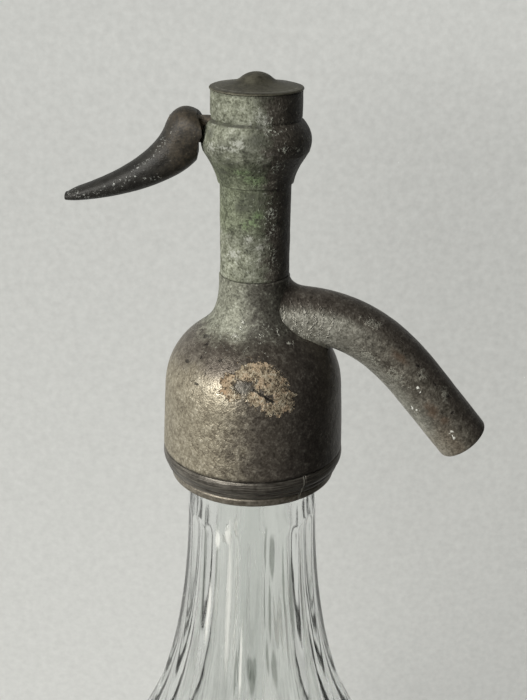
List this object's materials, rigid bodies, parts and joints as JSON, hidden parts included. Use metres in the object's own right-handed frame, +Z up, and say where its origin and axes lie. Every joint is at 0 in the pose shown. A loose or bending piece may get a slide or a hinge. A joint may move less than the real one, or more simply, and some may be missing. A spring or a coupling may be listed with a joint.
{
  "type": "soda siphon",
  "caption": "Fluted glass soda siphon with a turned metal head, a bent spout and a sprung thumb lever that lifts the valve.",
  "frame": {"origin": "middle of the bottle's flat base, on the surface that it stands on", "axes": "+Z up along the bottle's axis, +X towards the spout, -X towards the thumb lever"},
  "size_m": [0.1245, 0.108, 0.3409],
  "materials": {
    "glass": "clear, thick, faintly green",
    "tube_glass": "clear",
    "bell_metal": "old pewter, tarnished, with worn and corroded patches",
    "spout_metal": "old pewter, tarnished and pitted",
    "column_metal": "brass under grey-green verdigris",
    "cap_metal": "dark, tarnished",
    "ring_metal": "dark pewter, polished by wear",
    "handle_metal": "near black, scratched",
    "arm_metal": "dark, dull",
    "brass": "turned, dull",
    "spring_steel": "drawn wire",
    "rubber": "matt",
    "leather": "greased"
  },
  "bodies": {
    "bottle_and_head": {"bottle": "glass", "ring_front_half": "ring_metal", "ring_back_half": "ring_metal", "neck_gasket": "rubber", "bell": "bell_metal", "spout": "spout_metal", "column": "column_metal", "cap": "cap_metal", "lever_pin": "arm_metal", "spring_washer": "brass", "return_spring": "spring_steel", "packing_ring": "brass", "packing_washer": "leather", "valve_seat": "brass", "tube_holder": "brass", "tube_sleeve": "rubber", "dip_tube": "tube_glass"},
    "lever": {"lever_handle": "handle_metal", "lever_arm": "arm_metal"},
    "valve_rod": {"valve_stem": "brass", "crosshead": "brass", "lock_nut": "brass", "spring_seat": "brass", "valve_holder": "brass", "valve_rubber": "rubber"}
  },
  "joints": [
    {"name": "lever_pivot", "type": "hinge", "parent": "bottle_and_head", "child": "lever", "pos_m": [-0.0132, 0, 0.325], "axis": [0, -1, 0], "range_deg": [0, 14.4], "stiffness_Nm_per_rad": 1.4, "springref_deg": -11.46},
    {"name": "valve_lift", "type": "slide", "parent": "bottle_and_head", "child": "valve_rod", "axis": [0, 0, 1], "range_m": [0, 0.0033], "deforming": ["return_spring"]}
  ],
  "couplings": [
    {"joint": "lever_pivot", "follows": "valve_lift", "rad_per_m": 75.758}
  ]
}
